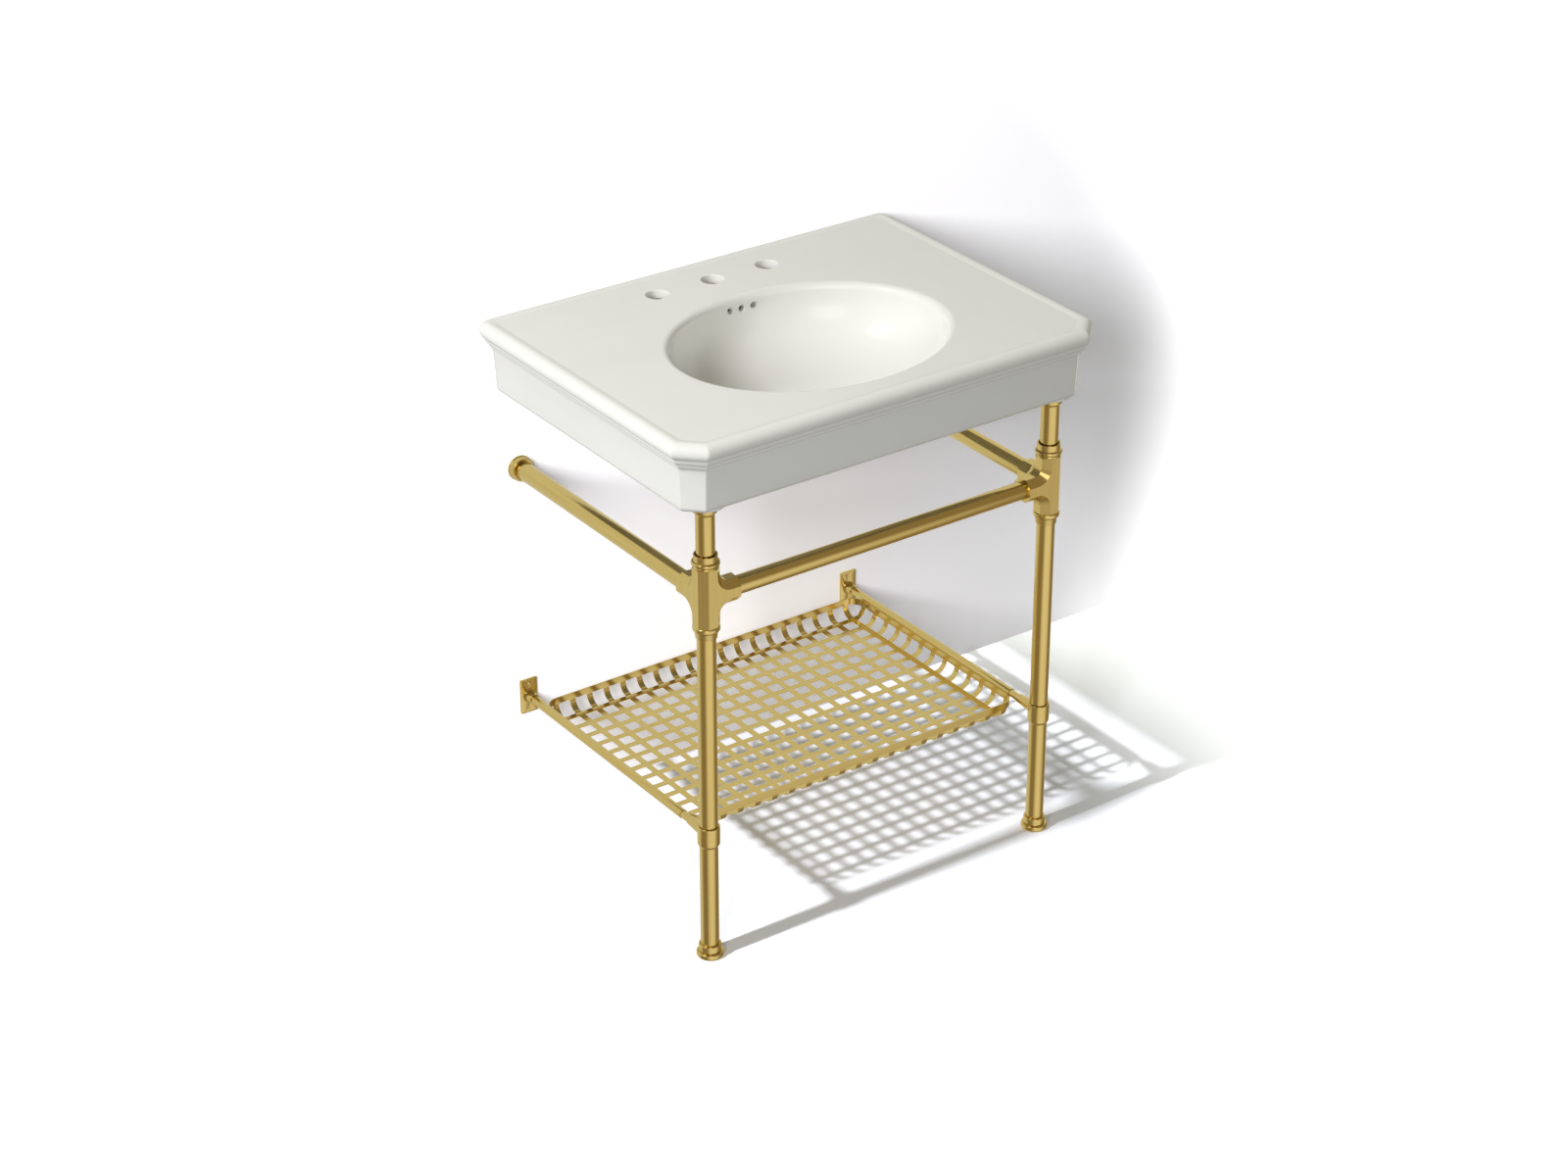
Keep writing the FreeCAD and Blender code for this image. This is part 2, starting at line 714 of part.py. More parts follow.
def foot_pad():
    """Glide that stays still on the floor while the foot turns on its pin."""
    pin_top = glide_thickness + glide_pin_height
    return at_leg(turned([(0, 0), (glide_radius, 0), (glide_radius, glide_thickness),
                          (glide_pin_radius, glide_thickness), (glide_pin_radius, pin_top), (0, pin_top)]))


def grub_screws():
    """Six headless screws: one under each arm of the tees and one under each shelf rod socket."""
    spots = []
    arm = tee_arm - grub_from_end
    socket = leg_y + socket_from_leg - grub_from_end
    for side in (-1, 1):
        spots.append((FreeCAD.Vector(side * (leg_x - arm), leg_y, rail_height), tube_radius, grub_length))
        spots.append((FreeCAD.Vector(side * leg_x, leg_y + arm, rail_height), tube_radius, grub_length))
        spots.append((FreeCAD.Vector(side * leg_x, socket, rod_height), rod_radius, rod_grub_length))
    screws = []
    for axis_point, radius, length in spots:
        tip = axis_point - UP * (radius + fit)
        screws.append(cylinder(grub_radius, tip - UP * length, tip))
    return Part.makeCompound(screws)


os.makedirs("parts", exist_ok=True)
save("console_top", console_top())
save_pair("post_bush", post_bush())
save_pair("post_ferrule", post_ferrule())
save_pair("top_post", top_post())
save_pair("tee", tee())
save_pair("upper_collar", upper_collar())
save_pair("lower_collar", lower_collar())
save("front_rail", front_rail())
save_pair("side_rail", side_rail())
save_pair("wall_cup", wall_cup())
save_pair("rail_hub", rail_hub())
save_pair("leg_tube", leg_tube())
save_pair("shelf_collar", shelf_collar())
save_pair("rod_inner", rod_inner())
save_pair("rod_sleeve", rod_sleeve())
save_pair("wall_bracket", wall_bracket())
save("shelf_basket", shelf_basket())
save_pair("foot_collar", foot_collar())
save_pair("foot_insert", foot_insert())
save_pair("levelling_foot", levelling_foot())
save_pair("foot_pad", foot_pad())
save("grub_screws", grub_screws())
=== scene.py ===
import json
import math

import bmesh
import bpy
from mathutils import Matrix, Vector

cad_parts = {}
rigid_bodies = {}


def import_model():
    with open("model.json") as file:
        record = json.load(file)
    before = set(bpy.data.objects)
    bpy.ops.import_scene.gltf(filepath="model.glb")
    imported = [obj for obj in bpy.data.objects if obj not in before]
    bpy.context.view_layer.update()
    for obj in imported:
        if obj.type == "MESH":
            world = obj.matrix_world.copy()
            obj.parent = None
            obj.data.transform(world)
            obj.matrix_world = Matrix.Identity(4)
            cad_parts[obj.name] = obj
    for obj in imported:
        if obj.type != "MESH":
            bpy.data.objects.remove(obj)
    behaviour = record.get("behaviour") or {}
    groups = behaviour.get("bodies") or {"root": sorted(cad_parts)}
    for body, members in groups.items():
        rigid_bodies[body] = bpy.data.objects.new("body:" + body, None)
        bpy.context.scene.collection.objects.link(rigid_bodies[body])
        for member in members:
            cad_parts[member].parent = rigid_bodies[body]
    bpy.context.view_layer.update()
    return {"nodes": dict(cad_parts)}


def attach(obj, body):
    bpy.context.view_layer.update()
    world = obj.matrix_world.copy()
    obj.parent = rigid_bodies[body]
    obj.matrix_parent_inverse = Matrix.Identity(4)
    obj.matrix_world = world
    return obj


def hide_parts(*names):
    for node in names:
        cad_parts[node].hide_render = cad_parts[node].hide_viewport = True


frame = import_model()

# ---------------------------------------------------------------------------------------------
# Console. One casting of fireclay, glazed white all over and fired once: a flat deck with a rolled
# rim, two beads and a tapered apron, an oval bowl, and a hollow underside with a pad over each leg.
# The back stays flat, because it is hung against the wall.

MM = 0.001
WIDTH, DEPTH, DECK = 762.0, 562.0, 878.0
CORNER_CUT = 38.0
CREST = 879.5
SLAB_UNDER = 864.0
UNDERSIDE = 765.0
BORDER = 24.0
ROLL = 13.5
ROLL_SWEEP = 140.0
APRON_INSET = 20.5
SKIRT = 12.5
LEG_X, LEG_Y = 315.2, -510.0


def round_corner(bm, vert, radius, segments):
    """Round a corner of a wire outline with a tangent arc."""
    here = vert.co
    first, second = (edge.other_vert(vert).co - here for edge in vert.link_edges)
    reach = radius / math.tan(first.angle(second) / 2)
    bmesh.ops.bevel(bm, geom=[vert], offset=reach, offset_type="OFFSET", segments=segments,
                    profile=0.5, affect="VERTICES", material=-1)


def plan_loop(bm, inset, height, back, front_round, back_round):
    """One level of the console: a rectangle with cut front corners, as a closed loop of edges."""
    old = set(bm.edges)
    side = WIDTH / 2 - inset
    front = inset - DEPTH
    cut = CORNER_CUT - inset * (2 - math.sqrt(2))
    spots = [(-side, -back), (-side, front + cut), (cut - side, front),
             (side - cut, front), (side, front + cut), (side, -back)]
    corners = [bm.verts.new((x * MM, y * MM, height * MM)) for x, y in spots]
    for place, corner in enumerate(corners):
        bm.edges.new((corners[place - 1], corner))
    for corner in corners[1:5]:
        round_corner(bm, corner, front_round * MM, 8)
    for corner in (corners[0], corners[5]):
        round_corner(bm, corner, back_round * MM, 10)
    return [edge for edge in bm.edges if edge not in old]


def bridge(bm, first, second):
    """Strip of faces between two loops."""
    bmesh.ops.bridge_loops(bm, edges=first + second, use_pairs=False, use_cyclic=False, use_merge=False,
                           merge_factor=0.5, twist_offset=0)


def ovolo(levels, inset, height, width, drop):
    """Convex quarter round inwards and down, added to a list of (inset, height) levels."""
    for step in range(9):
        angle = math.radians(90 * step / 8)
        levels.append((inset + width * (1 - math.cos(angle)), height - drop * math.sin(angle)))


def cove(levels, inset, height, radius):
    """Small concave corner from level inwards to straight down, added to a list of levels."""
    for step in range(5):
        angle = math.radians(90 * step / 4)
        levels.append((inset + radius * math.sin(angle), height - radius * (1 - math.cos(angle))))


def rim_levels():
    """(inset, height) of each level down the outside, from the crest of the roll to the bottom edge."""
    levels = []
    for step in range(29):
        angle = math.radians(90 - ROLL_SWEEP * step / 28)
        levels.append((ROLL * (1 - math.cos(angle)), CREST - ROLL + ROLL * math.sin(angle)))
    inset, height = levels[-1]
    ovolo(levels, inset + 1.8, height - 1.1, 4.0, 8.4)
    inset, height = levels[-1]
    cove(levels, inset + 0.9, height - 0.1, 0.9)
    ovolo(levels, inset + 1.8, height - 3.4, 3.0, 4.2)
    inset, height = levels[-1]
    cove(levels, inset + 0.5, height - 0.1, 1.5)
    inset = levels[-1][0]
    levels.append((inset + 3.0, UNDERSIDE + 25.0))
    ovolo(levels, levels[-1][0], UNDERSIDE + 9.0, 9.0, 9.0)
    return levels


def console_skin(bm):
    """Deck border, rim, apron, bottom edge and inner skirt, as one stack of levels."""
    loops = [plan_loop(bm, BORDER + 1.0, DECK, 18.0, 4.0, 12.0)]
    for inset, height in ((BORDER, DECK), (BORDER - 0.8, DECK + 0.07), (BORDER - 4.0, DECK + 0.68),
                          (BORDER - 7.6, CREST - 0.08), (BORDER - 8.6, CREST - 0.005)):
        loops.append(plan_loop(bm, inset, height, inset - 7.0, 4.0, 12.0))
    for inset, height in rim_levels():
        above = max(0.0, height - CREST + 6.0)
        back = 6.0 - math.sqrt(36.0 - above ** 2)
        share = min(1.0, inset / APRON_INSET) if height < CREST - ROLL else 0.0
        loops.append(plan_loop(bm, inset, height, back, max(3.5, 8.0 - inset), 14.0 + 12.0 * share))
    inset = APRON_INSET + SKIRT
    loops.append(plan_loop(bm, inset - 2.0, UNDERSIDE + 0.4, 12.0, 12.0, 12.0))
    loops.append(plan_loop(bm, inset, UNDERSIDE + 4.0, 14.0, 12.0, 12.0))
    for step in range(7):
        angle = math.radians(15 * step)
        run = 8.0 * (1 - math.cos(angle))
        height = SLAB_UNDER - 8.0 + 8.0 * math.sin(angle)
        loops.append(plan_loop(bm, inset + run, height, 14.0 + run, 12.0, 12.0))
    for upper, lower in zip(loops, loops[1:]):
        bridge(bm, upper, lower)


def profile_to(bm, tip, radius, height):
    """Draw a straight line on from the tip of a section."""
    new = bmesh.ops.extrude_vert_indiv(bm, verts=[tip])["verts"][0]
    new.co = (radius * MM, 0, height * MM)
    return new


def profile_arc(bm, tip, radius, height, degrees, steps):
    """Draw an arc on from the tip of a section, round the centre (radius, height)."""
    made = bmesh.ops.spin(bm, geom=[tip], cent=(radius * MM, 0, height * MM), axis=(0, -1, 0), dvec=(0, 0, 0),
                          angle=math.radians(degrees), steps=steps, use_merge=False, use_normal_flip=False,
                          use_duplicate=False)
    return made["geom_last"][0]


def spin_new(bm, old, steps):
    """Spin all that is newer than a set of verts once round the Z axis."""
    points = [vert for vert in bm.verts if vert not in old]
    edges = [edge for edge in bm.edges if edge.verts[0] not in old]
    bmesh.ops.spin(bm, geom=points + edges, cent=(0, 0, 0), axis=(0, 0, 1), dvec=(0, 0, 0),
                   angle=math.tau, steps=steps, use_merge=True, use_normal_flip=False, use_duplicate=False)
    return [vert for vert in bm.verts if vert not in old]


BOWL_Y = -326.5
BOWL_R, BOWL_OVAL, BOWL_DEPTH, BOWL_WALL = 220.5, 0.8065, 128.0, 12.0
BOWL_TOP = DECK - 12.0
DRAIN_R = 22.25


def bowl(bm):
    """Bowl from the deck over the lip, down the wall to the drain, through it, and up the outside."""
    old = set(bm.verts)
    tip = bm.verts.new(((BOWL_R + 13.0) * MM, 0, DECK * MM))
    tip = profile_to(bm, tip, BOWL_R + 12.0, DECK)
    tip = profile_arc(bm, tip, BOWL_R + 12.0, BOWL_TOP, 90, 12)
    lip = set(bm.verts)
    reach = math.degrees(math.acos((DRAIN_R + 3.0) / BOWL_R))
    tip = profile_arc(bm, tip, 0, BOWL_TOP, -reach, 60)
    bmesh.ops.scale(bm, verts=[vert for vert in bm.verts if vert not in lip],
                    vec=(1, 1, BOWL_DEPTH / BOWL_R), space=Matrix.Translation((0, 0, -BOWL_TOP * MM)))
    floor = tip.co.z / MM
    boss = DRAIN_R + 13.0
    for radius, height in ((DRAIN_R + 1.2, floor - 0.8), (DRAIN_R, floor - 2.6), (DRAIN_R, 717.5),
                           (DRAIN_R + 1.5, 716.0), (boss - 1.5, 716.0), (boss, 717.5), (boss, 727.5)):
        tip = profile_to(bm, tip, radius, height)
    outer, deep = BOWL_R + BOWL_WALL, BOWL_DEPTH + BOWL_WALL
    start = math.acos(boss / outer)
    end = math.asin((BOWL_TOP - SLAB_UNDER) / deep)
    for step in range(41):
        angle = start + (end - start) * step / 40
        tip = profile_to(bm, tip, outer * math.cos(angle), BOWL_TOP - deep * math.sin(angle))
    made = spin_new(bm, old, 192)
    for vert in made:
        distance = math.hypot(vert.co.x, vert.co.y) / MM
        share = min(1.0, max(0.0, (distance - 38.0) / 120.0))
        vert.co.y *= 1 - (1 - BOWL_OVAL) * share * share * (3 - 2 * share)
    bmesh.ops.translate(bm, verts=made, vec=(0, BOWL_Y * MM, 0))


def tap_hole(bm, column):
    """Tap hole: a glazed edge, and a straight bore through the slab."""
    old = set(bm.verts)
    tip = bm.verts.new((20.5 * MM, 0, DECK * MM))
    tip = profile_to(bm, tip, 19.3, DECK)
    tip = profile_arc(bm, tip, 19.3, DECK - 1.8, 90, 5)
    profile_to(bm, tip, 17.5, SLAB_UNDER)
    bmesh.ops.translate(bm, verts=spin_new(bm, old, 64), vec=(column * MM, -70.3 * MM, 0))


def level_rims(bm, height):
    """Open edges of the mesh that lie at one height."""
    return [edge for edge in bm.edges if edge.is_boundary
            and all(abs(vert.co.z - height * MM) < 1e-6 for vert in edge.verts)]


def smooth_by_angle(bm, degrees=32):
    """Smooth shading, with the sharper edges kept sharp."""
    for face in bm.faces:
        face.smooth = True
    for edge in bm.edges:
        edge.smooth = edge.calc_face_angle(0.0) < math.radians(degrees)


def new_piece(name, bm, material, slot, body, *nodes):
    """Finish a mesh as a piece of the object, with its material, its body and the CAD nodes it stands for."""
    bmesh.ops.remove_doubles(bm, verts=bm.verts, dist=1e-6)
    bmesh.ops.recalc_face_normals(bm, faces=bm.faces)
    smooth_by_angle(bm)
    mesh = bpy.data.meshes.new(name)
    bm.to_mesh(mesh)
    bm.free()
    piece = bpy.data.objects.new(name, mesh)
    bpy.context.scene.collection.objects.link(piece)
    mesh.materials.append(material)
    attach(piece, body)
    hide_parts(*nodes)
    return piece


def node(tree, kind, **values):
    """New shader node; a value whose name is a socket sets that socket, any other one a property."""
    made = tree.nodes.new(kind)
    for key, value in values.items():
        socket = made.inputs.get(key.replace("_", " "))
        if socket is not None:
            socket.default_value = value
        else:
            setattr(made, key, value)
    return made


def new_material(name):
    material = bpy.data.materials.new(name)
    material.use_nodes = True
    return material.node_tree, material.node_tree.nodes["Principled BSDF"], material


def ramp(tree, source, low, high, dark, light):
    """Colour between two tones, for a value between low and high."""
    made = tree.nodes.new("ShaderNodeValToRGB")
    for stop, position, tone in zip(made.color_ramp.elements, (low, high), (dark, light)):
        stop.position = position
        stop.color = (*tone, 1)
    tree.links.new(source, made.inputs["Fac"])
    return made.outputs["Color"]


def between(tree, source, low, high):
    """Value between two ends, for a value between 0 and 1."""
    made = node(tree, "ShaderNodeMapRange", To_Min=low, To_Max=high)
    tree.links.new(source, made.inputs["Value"])
    return made.outputs["Result"]


def bump(tree, source, strength, distance):
    """Normal of a height."""
    made = node(tree, "ShaderNodeBump", Strength=strength, Distance=distance)
    tree.links.new(source, made.inputs["Height"])
    return made.outputs["Normal"]


def grain(tree, scale, detail=2.0):
    """Noise in the object's own coordinates."""
    place = tree.nodes.new("ShaderNodeTexCoord")
    made = node(tree, "ShaderNodeTexNoise", Scale=scale, Detail=detail, Roughness=0.55)
    tree.links.new(place.outputs["Object"], made.inputs["Vector"])
    return made.outputs["Fac"]


def glaze():
    """White fireclay under a clear glaze: gloss over faint orange peel, mottled by a few hundredths."""
    tree, shader, material = new_material("glazed_fireclay")
    shader.inputs["IOR"].default_value = 1.52
    shader.inputs["Coat Weight"].default_value = 0.35
    shader.inputs["Coat Roughness"].default_value = 0.06
    cloud = grain(tree, 6.0, 3.0)
    tint = ramp(tree, cloud, 0.3, 0.7, (0.812, 0.812, 0.778), (0.840, 0.840, 0.808))
    tree.links.new(tint, shader.inputs["Base Color"])
    tree.links.new(between(tree, cloud, 0.2, 0.3), shader.inputs["Roughness"])
    tree.links.new(bump(tree, grain(tree, 42.0), 0.1, 0.0004), shader.inputs["Normal"])
    return material


def block(bm, low, high):
    """Block between two corners, in millimetres."""
    made = bmesh.ops.create_cube(bm, size=1.0)["verts"]
    bmesh.ops.scale(bm, verts=made, vec=[(top - bottom) * MM for bottom, top in zip(low, high)])
    bmesh.ops.translate(bm, verts=made, vec=[(top + bottom) / 2 * MM for bottom, top in zip(low, high)])


def facing(place, way):
    """Matrix that turns the Z axis along a way and moves the origin to a place, in millimetres."""
    turn = Vector((0, 0, 1)).rotation_difference(Vector(way)).to_matrix().to_4x4()
    return Matrix.Translation(Vector(place) * MM) @ turn


def bar(bm, radius, start, end, segments=48, mouth=None):
    """Closed round bar between two points, in millimetres; a mouth is a wider radius at the start."""
    start, end = Vector(start), Vector(end)
    way = end - start
    made = bmesh.ops.create_cone(bm, cap_ends=True, cap_tris=False, segments=segments, depth=way.length * MM,
                                 radius1=(mouth or radius) * MM, radius2=radius * MM)["verts"]
    bmesh.ops.transform(bm, verts=made, matrix=facing((start + end) / 2, way))


def carve(piece, operation, bm):
    """Join a closed mesh to a piece, or take it away."""
    bmesh.ops.recalc_face_normals(bm, faces=bm.faces)
    mesh = bpy.data.meshes.new("tool")
    bm.to_mesh(mesh)
    bm.free()
    tool = bpy.data.objects.new("tool", mesh)
    bpy.context.scene.collection.objects.link(tool)
    change = piece.modifiers.new("carve", "BOOLEAN")
    change.operation = operation
    change.object = tool
    change.solver = "EXACT"
    seen = piece.evaluated_get(bpy.context.evaluated_depsgraph_get())
    result = bpy.data.meshes.new_from_object(seen)
    piece.modifiers.clear()
    result.name = piece.name
    piece.data = result
    bpy.data.objects.remove(tool)


def console():
    """The whole casting: skin, bowl and tap holes first, then what is joined on and cut out underneath."""
    bm = bmesh.new()
    console_skin(bm)
    bowl(bm)
    for column in (-101.6, 0, 101.6):
        tap_hole(bm, column)
    bmesh.ops.remove_doubles(bm, verts=bm.verts, dist=1e-6)
    for height, way in ((DECK, 1), (SLAB_UNDER, -1)):
        bmesh.ops.triangle_fill(bm, use_beauty=True, use_dissolve=False, edges=level_rims(bm, height),
                                normal=(0, 0, way))
    piece = new_piece("ceramic_console", bm, glaze(), "ceramic", "console", "console_top")

    bowl_back = BOWL_Y + BOWL_R * BOWL_OVAL
    duct_front = bowl_back + BOWL_WALL * BOWL_OVAL - 2.0
    duct_back = duct_front + 13.0
    overflow = DECK - 21.0
    duct_low = overflow - 112.0
    joined = bmesh.new()
    for side in (-1, 1):
        bar(joined, 30.0, (side * LEG_X, LEG_Y, UNDERSIDE), (side * LEG_X, LEG_Y, SLAB_UNDER + 6.0), 64)
    block(joined, (-32.0, bowl_back + 4.0, duct_low - 7.0), (32.0, duct_back + 7.0, SLAB_UNDER + 7.0))
    carve(piece, "UNION", joined)
    joined = bmesh.new()
    bar(joined, 12.5, (0, (duct_front + duct_back) / 2, duct_low + 5.5), (0, BOWL_Y + DRAIN_R + 6.0, 727.5))
    carve(piece, "UNION", joined)
    taken = bmesh.new()
    for side in (-1, 1):
        bar(taken, 16.65, (side * LEG_X, LEG_Y, UNDERSIDE - 1.0), (side * LEG_X, LEG_Y, UNDERSIDE + 74.1), 64)
        bar(taken, 7.0, (side * 140.0, 5.0, 812.0), (side * 140.0, -30.0, 812.0))
    block(taken, (-25.0, duct_front, duct_low), (25.0, duct_back, SLAB_UNDER))
    carve(piece, "DIFFERENCE", taken)
    for radius, mouth, start, end in ((4.5, 4.5, bowl_back - 6.0, duct_front + 6.0),
                                      (4.4, 6.8, bowl_back - 1.6, bowl_back + 1.4)):
        taken = bmesh.new()
        for hole in (-22.0, 0, 22.0):
            bar(taken, radius, (hole, start, overflow), (hole, end, overflow), 48, mouth)
        carve(piece, "DIFFERENCE", taken)
    bm = bmesh.new()
    bm.from_mesh(piece.data)
    smooth_by_angle(bm)
    bm.to_mesh(piece.data)
    bm.free()


console()

# ---------------------------------------------------------------------------------------------
# Brass finish. The frame is solid brass, brushed along each length or turned on a lathe, then
# lacquered: lines a few hundredths of a millimetre deep that catch the light in fine streaks.


def brush_group():
    """Brush lines: fine ones, broad ones and a slow cloud, in coordinates stretched along three axes."""
    group = bpy.data.node_groups.new("brush_lines", "ShaderNodeTree")
    for name in ("X", "Y", "Z"):
        group.interface.new_socket(name, in_out="INPUT", socket_type="NodeSocketFloat")
    for name in ("Fine", "Broad", "Cloud"):
        group.interface.new_socket(name, in_out="OUTPUT", socket_type="NodeSocketFloat")
    given = group.nodes.new("NodeGroupInput")
    out = group.nodes.new("NodeGroupOutput")
    place = group.nodes.new("ShaderNodeTexCoord")
    scale = group.nodes.new("ShaderNodeCombineXYZ")
    stretched = node(group, "ShaderNodeVectorMath", operation="MULTIPLY")
    for name in ("X", "Y", "Z"):
        group.links.new(given.outputs[name], scale.inputs[name])
    group.links.new(place.outputs["Object"], stretched.inputs[0])
    group.links.new(scale.outputs["Vector"], stretched.inputs[1])
    drawn_out, even = stretched.outputs["Vector"], place.outputs["Object"]
    for name, size, source in (("Fine", 1.0, drawn_out), ("Broad", 0.22, drawn_out), ("Cloud", 16.0, even)):
        lines = node(group, "ShaderNodeTexNoise", Scale=size, Detail=2.5, Roughness=0.6)
        group.links.new(source, lines.inputs["Vector"])
        group.links.new(lines.outputs["Fac"], out.inputs[name])
    return group


BRUSH_LINES = brush_group()


def brushed_brass(name, across, along, axis):
    """Satin brass; the lines run along one axis, or round it where along is the greater number."""
    tree, shader, material = new_material(name)
    shader.inputs["Metallic"].default_value = 1.0
    lines = tree.nodes.new("ShaderNodeGroup")
    lines.node_tree = BRUSH_LINES
    for letter in "XYZ":
        lines.inputs[letter].default_value = along if letter == axis else across
    fine, broad, cloud = (lines.outputs[output] for output in ("Fine", "Broad", "Cloud"))
    tint = ramp(tree, broad, 0.3, 0.7, (0.700, 0.535, 0.195), (0.770, 0.605, 0.240))
    tree.links.new(tint, shader.inputs["Base Color"])
    tree.links.new(between(tree, cloud, 0.12, 0.22), shader.inputs["Roughness"])
    tree.links.new(bump(tree, fine, 0.25, 0.00002), shader.inputs["Normal"])
    return material


BRASS_UP = brushed_brass("brass_brushed_upright", 1600, 24, "Z")
BRASS_ACROSS = brushed_brass("brass_brushed_across", 1600, 24, "X")
BRASS_TO_WALL = brushed_brass("brass_brushed_to_wall", 1600, 24, "Y")
BRASS_TURNED = brushed_brass("brass_turned_upright", 90, 1600, "Z")
BRASS_TURNED_LEVEL = brushed_brass("brass_turned_level", 90, 1600, "Y")
SIDES = (("left", -1), ("right", 1))


def turned(bm, corners, place, way=(0, 0, 1), steps=72):
    """Solid turned from (radius, along, rounding) corners; it is open at the axis if it starts on it."""
    old = set(bm.verts)
    spots = [bm.verts.new((corner[0] * MM, 0, corner[1] * MM)) for corner in corners]
    for first, second in zip(spots, spots[1:]):
        bm.edges.new((first, second))
    if corners[0][0]:
        bm.edges.new((spots[-1], spots[0]))
    for spot, corner in zip(spots, corners):
        if len(corner) > 2:
            round_corner(bm, spot, corner[2] * MM, 4)
    bmesh.ops.transform(bm, verts=spin_new(bm, old, steps), matrix=facing(place, way))


def brass_turned(name, corners, place, way, material):
    """Turned brass piece that stands for the CAD node of its name."""
    bm = bmesh.new()
    turned(bm, corners, place, way)
    new_piece(name + "_turned", bm, material, "brass", "console", name)


def tube(name, start, length, way, material, outer=14.3, inner=12.8):
    """Cut length of tube, its ends broken by a file."""
    corners = [(inner, 0, 0.2), (outer, 0, 0.3), (outer, length, 0.3), (inner, length, 0.2)]
    brass_turned(name, corners, start, way, material)


# ---------------------------------------------------------------------------------------------
# Posts and leg tubes. Drawn brass tube, brushed along its length. A coved ferrule covers the top of
# each post where it goes up into the ceramic.

RAIL = 617.9
for tag, side in SIDES:
    x = side * LEG_X
    tube(f"top_post_{tag}", (x, LEG_Y, RAIL + 20.0), 198.1, (0, 0, 1), BRASS_UP)
    tube(f"leg_tube_{tag}", (x, LEG_Y, 11.8), RAIL - 31.8, (0, 0, 1), BRASS_UP)
    ferrule = [(14.35, 765.0), (18.2, 765.0, 0.2), (18.2, 754.0, 0.5), (15.9, 753.2, 2.0),
               (14.65, 749.5, 0.15), (14.35, 749.5)]
    brass_turned(f"post_ferrule_{tag}", ferrule, (x, LEG_Y, 0), (0, 0, 1), BRASS_TURNED)

# ---------------------------------------------------------------------------------------------
# Towel rails. The same tube, across the front between the tees and back to the wall, where a turned
# cup with a wider rim hides the screwed hub.

tube("front_rail", (-295.2, LEG_Y, RAIL), 590.4, (1, 0, 0), BRASS_ACROSS)
for tag, side in SIDES:
    x = side * LEG_X
    tube(f"side_rail_{tag}", (x, -4.0, RAIL), 486.0, (0, -1, 0), BRASS_TO_WALL)
    cup = [(14.35, 0), (20.2, 0, 0.3), (20.2, 2.8, 0.5), (19.0, 3.2, 0.3), (19.0, 13.0, 1.0),
           (15.65, 13.0, 0.4), (15.65, 10.5, 0.2), (14.35, 10.5)]
    brass_turned(f"wall_cup_{tag}", cup, (x, 0, RAIL), (0, -1, 0), BRASS_TURNED_LEVEL)

# ---------------------------------------------------------------------------------------------
# Tees and their collars. Each tee is an eight-sided casting, machined flat and brushed, with a bored
# socket for each tube. A slip collar closes the top joint and a ring with a tapered neck the lower.


def tee(tag):
    """Copy of the CAD tee, its flat faces made whole and its long edges broken by a file."""
    bm = bmesh.new()
    bm.from_mesh(frame["nodes"][f"tee_{tag}"].data)
    bmesh.ops.remove_doubles(bm, verts=bm.verts, dist=1e-6)
    bmesh.ops.dissolve_limit(bm, angle_limit=math.radians(0.5), use_dissolve_boundaries=False,
                             verts=bm.verts, edges=bm.edges, delimit={"NORMAL"})
    filed = bm.edges.layers.float.new("bevel_weight_edge")
    for edge in bm.edges:
        ends_inside = all(abs(vert.co.z / MM - RAIL) < 46.9 for vert in edge.verts)
        if edge.calc_length() > 4 * MM and ends_inside and edge.calc_face_angle(0) > math.radians(28):
            edge[filed] = 1.0
    piece = new_piece(f"tee_{tag}_cast", bm, BRASS_UP, "brass", "console", f"tee_{tag}")
    broken = piece.modifiers.new("broken_edges", "BEVEL")
    broken.width = 0.3 * MM
    broken.segments = 2
    broken.limit_method = "WEIGHT"
    broken.harden_normals = True


for tag, side in SIDES:
    place = (side * LEG_X, LEG_Y, 0)
    tee(tag)
    slip = [(14.35, 668.6), (18.5, 668.6), (18.9, 668.9), (21.2, 668.9, 3.0), (21.2, 675.6, 3.0),
            (17.8, 675.6, 0.3), (17.8, 685.6, 0.5), (15.95, 685.6, 0.3), (15.95, 679.6, 0.2), (14.35, 679.6)]
    brass_turned(f"upper_collar_{tag}", slip, place, (0, 0, 1), BRASS_TURNED)
    ring = [(14.35, 550.4), (16.3, 550.4, 0.4), (17.5, 561.4, 0.4), (18.4, 561.4, 0.1), (20.6, 563.6, 3.0),
            (20.6, 568.7, 3.0), (18.4, 570.9, 0.2), (14.35, 570.9)]
    brass_turned(f"lower_collar_{tag}", ring, place, (0, 0, 1), BRASS_TURNED)

# ---------------------------------------------------------------------------------------------
# Shelf carriers. A collar with a flared socket on each leg, a rod in it, a sleeve over the rod, and a
# wall plate with a turned boss. The plate is left with its two screw holes open.

ROD = 214.9


